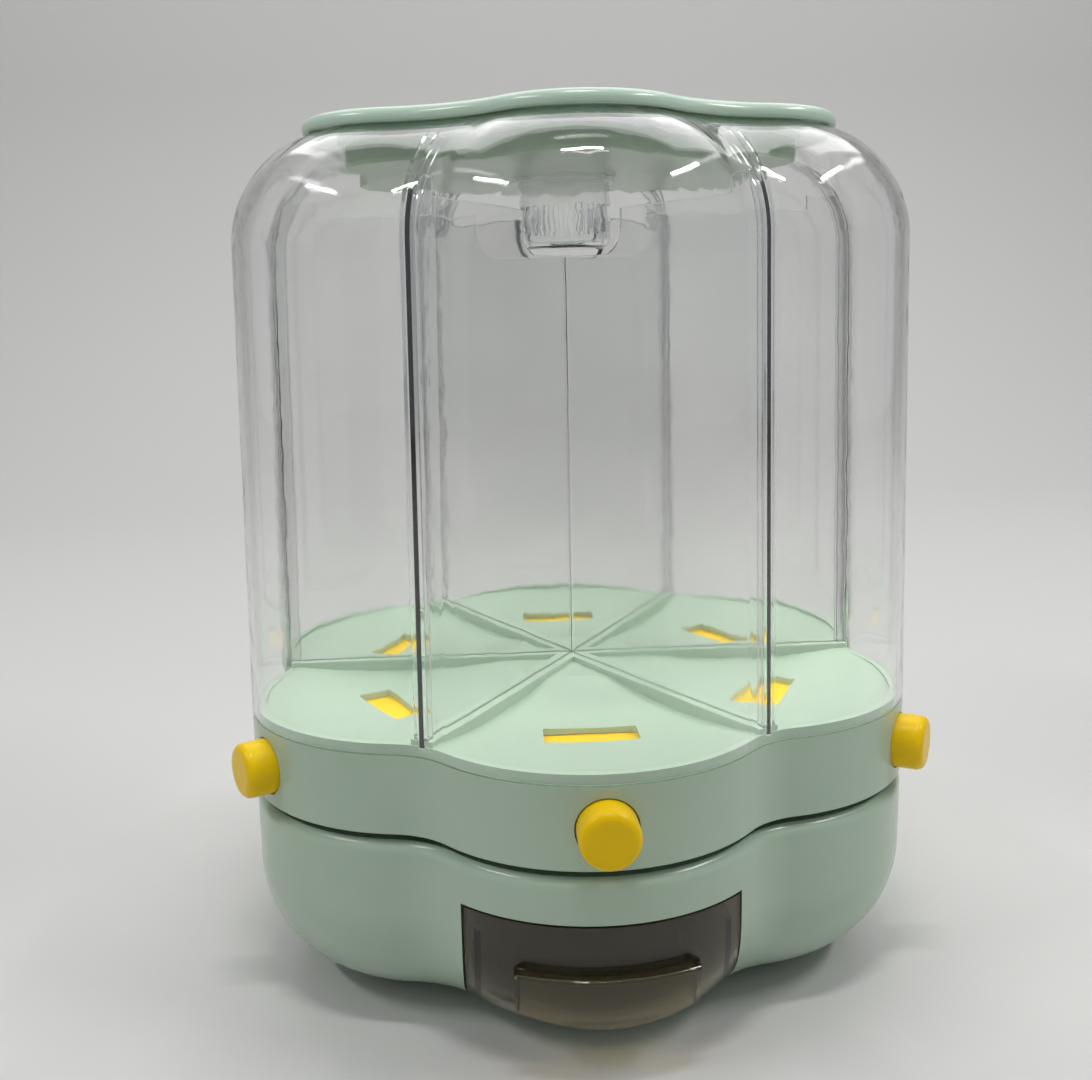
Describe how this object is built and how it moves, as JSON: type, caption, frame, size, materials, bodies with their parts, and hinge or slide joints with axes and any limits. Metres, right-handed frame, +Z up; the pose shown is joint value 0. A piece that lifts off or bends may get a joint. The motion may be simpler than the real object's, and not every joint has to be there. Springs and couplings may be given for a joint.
{
  "type": "rotating grain dispenser",
  "caption": "Six-lobed countertop grain dispenser: clear divided container on a turning tray with push-button gates, lobed lid and a bowl base with a pull-out drawer.",
  "frame": {"origin": "on the table under the turning axis, at the middle of the base's feet", "axes": "+Z up along the turning axis, -Y towards the drawer and the front button, +X to the right"},
  "size_m": [0.2626, 0.294, 0.3208],
  "materials": {
    "mint_plastic": "satin",
    "clear_plastic": "clear gloss",
    "smoke_plastic": "clear gloss",
    "yellow_plastic": "satin",
    "white_plastic": "matte",
    "seal_rubber": "matte",
    "foot_rubber": "matte",
    "bright_steel": "bright",
    "spring_steel": "bright"
  },
  "bodies": {
    "base": {"base_housing": "mint_plastic", "base_deck": "mint_plastic", "deck_chute": "mint_plastic", "foot_pads": "foot_rubber", "deck_screws": "bright_steel", "pivot_washer": "bright_steel", "pivot_screw": "bright_steel"},
    "ball_ring": {"ball_cage": "white_plastic", "bearing_balls": "bright_steel"},
    "rotor": {"hopper_tray": "mint_plastic", "tray_bottom_plate": "mint_plastic", "tray_screws": "bright_steel", "container_shell": "clear_plastic", "divider_star": "clear_plastic", "return_spring_1": "spring_steel", "return_spring_2": "spring_steel", "return_spring_3": "spring_steel", "return_spring_4": "spring_steel", "return_spring_5": "spring_steel", "return_spring_6": "spring_steel", "outlet_chute_1": "mint_plastic", "outlet_chute_2": "mint_plastic", "outlet_chute_3": "mint_plastic", "outlet_chute_4": "mint_plastic", "outlet_chute_5": "mint_plastic", "outlet_chute_6": "mint_plastic"},
    "lid": {"lid_cover": "mint_plastic", "lid_liner": "mint_plastic", "lid_seal": "seal_rubber", "desiccant_basket": "clear_plastic"},
    "drawer": {"drawer": "smoke_plastic"},
    "gate_1": {"button_cap_1": "yellow_plastic", "gate_slide_1": "yellow_plastic"},
    "gate_2": {"button_cap_2": "yellow_plastic", "gate_slide_2": "yellow_plastic"},
    "gate_3": {"button_cap_3": "yellow_plastic", "gate_slide_3": "yellow_plastic"},
    "gate_4": {"button_cap_4": "yellow_plastic", "gate_slide_4": "yellow_plastic"},
    "gate_5": {"button_cap_5": "yellow_plastic", "gate_slide_5": "yellow_plastic"},
    "gate_6": {"button_cap_6": "yellow_plastic", "gate_slide_6": "yellow_plastic"}
  },
  "joints": [
    {"name": "turntable_spin", "type": "hinge", "parent": "base", "child": "rotor", "pos_m": [0, 0, 0.0738], "axis": [0, 0, 1], "continuous": true},
    {"name": "ball_ring_roll", "type": "hinge", "parent": "base", "child": "ball_ring", "pos_m": [0, 0, 0.0738], "axis": [0, 0, 1], "continuous": true},
    {"name": "drawer_slide", "type": "slide", "parent": "base", "child": "drawer", "axis": [0, -1, 0], "range_m": [0, 0.1]},
    {"name": "lid_lift", "type": "slide", "parent": "rotor", "child": "lid", "axis": [0, 0, 1], "range_m": [0, 0.08]},
    {"name": "button_press_1", "type": "slide", "parent": "rotor", "child": "gate_1", "axis": [0, 1, 0], "range_m": [0, 0.01], "stiffness_N_per_m": 250, "springref_m": -0.006, "deforming": ["return_spring_1"]},
    {"name": "button_press_2", "type": "slide", "parent": "rotor", "child": "gate_2", "axis": [-0.866, 0.5, 0], "range_m": [0, 0.01], "stiffness_N_per_m": 250, "springref_m": -0.006, "deforming": ["return_spring_2"]},
    {"name": "button_press_3", "type": "slide", "parent": "rotor", "child": "gate_3", "axis": [-0.866, -0.5, 0], "range_m": [0, 0.01], "stiffness_N_per_m": 250, "springref_m": -0.006, "deforming": ["return_spring_3"]},
    {"name": "button_press_4", "type": "slide", "parent": "rotor", "child": "gate_4", "axis": [0, -1, 0], "range_m": [0, 0.01], "stiffness_N_per_m": 250, "springref_m": -0.006, "deforming": ["return_spring_4"]},
    {"name": "button_press_5", "type": "slide", "parent": "rotor", "child": "gate_5", "axis": [0.866, -0.5, 0], "range_m": [0, 0.01], "stiffness_N_per_m": 250, "springref_m": -0.006, "deforming": ["return_spring_5"]},
    {"name": "button_press_6", "type": "slide", "parent": "rotor", "child": "gate_6", "axis": [0.866, 0.5, 0], "range_m": [0, 0.01], "stiffness_N_per_m": 250, "springref_m": -0.006, "deforming": ["return_spring_6"]}
  ],
  "couplings": [
    {"joint": "ball_ring_roll", "follows": "turntable_spin", "ratio": 0.5}
  ]
}
